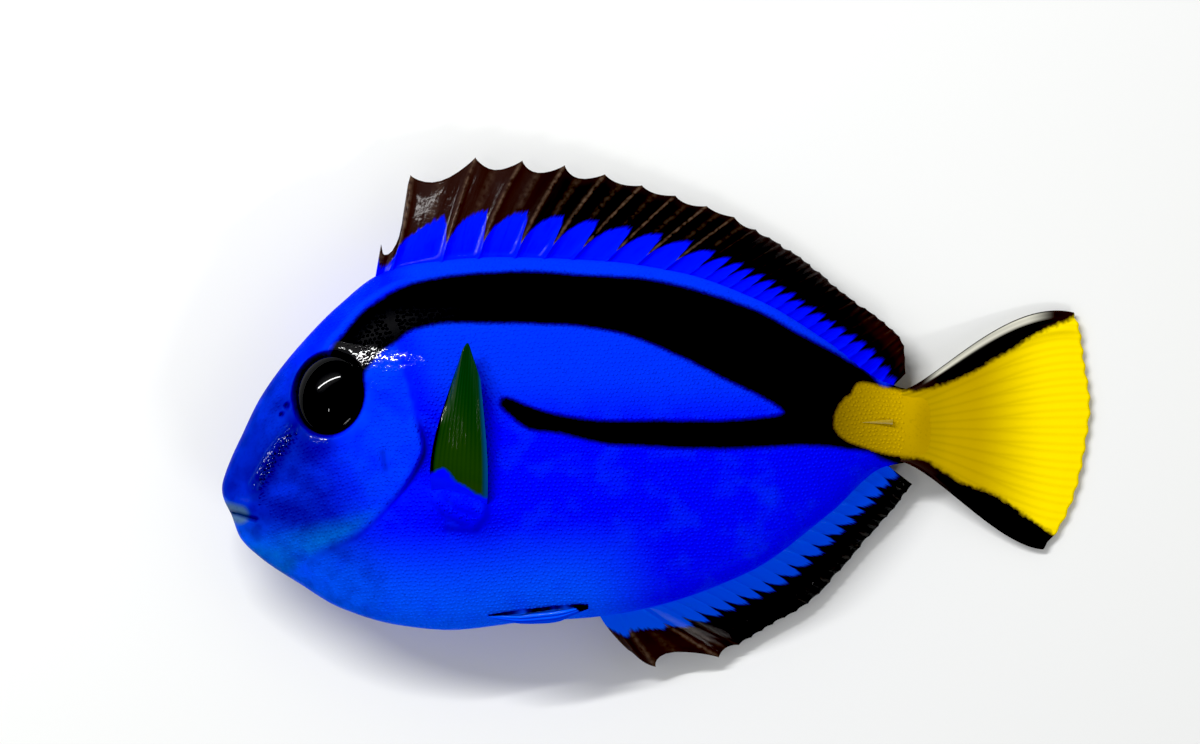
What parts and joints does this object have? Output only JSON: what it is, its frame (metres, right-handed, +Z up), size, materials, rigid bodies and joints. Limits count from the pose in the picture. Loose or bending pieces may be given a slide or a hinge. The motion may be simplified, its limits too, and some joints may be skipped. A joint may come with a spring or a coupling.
{
  "type": "regal blue tang",
  "caption": "Small juvenile regal blue tang, a deep flat-sided reef fish, lying on its right side as a still life-size model with raised dorsal fin and open tail.",
  "frame": {"origin": "on the floor, under the middle of the fish's outline as it lies", "axes": "+X from the snout to the tail, +Y towards the back and the dorsal fin, +Z up, out of the left flank"},
  "size_m": [0.0562, 0.033, 0.0094],
  "materials": {
    "skin_blue": "wet scaled skin, royal blue",
    "throat_blue": "wet skin, lighter blue",
    "fin_black": "wet fin membrane, blue at the root and brown-black at the edge",
    "tail_yellow": "wet fin membrane, yellow with black outer rays",
    "pectoral_green": "thin wet fin membrane, dark olive over a blue root",
    "spine_ivory": "smooth bony spine",
    "eye_black": "clear wet eye over a black iris"
  },
  "bodies": {
    "root": {"head": "skin_blue", "lower_jaw": "throat_blue", "gill_cover_left": "skin_blue", "gill_cover_right": "skin_blue", "trunk": "skin_blue", "tail_stalk": "tail_yellow", "dorsal_fin": "fin_black", "anal_fin": "fin_black", "caudal_fin": "tail_yellow", "pectoral_fin_left": "pectoral_green", "pectoral_fin_right": "pectoral_green", "pelvic_fin_left": "skin_blue", "pelvic_fin_right": "skin_blue", "eye_left": "eye_black", "eye_right": "eye_black", "tail_spine_left": "spine_ivory", "tail_spine_right": "spine_ivory"}
  },
  "joints": []
}
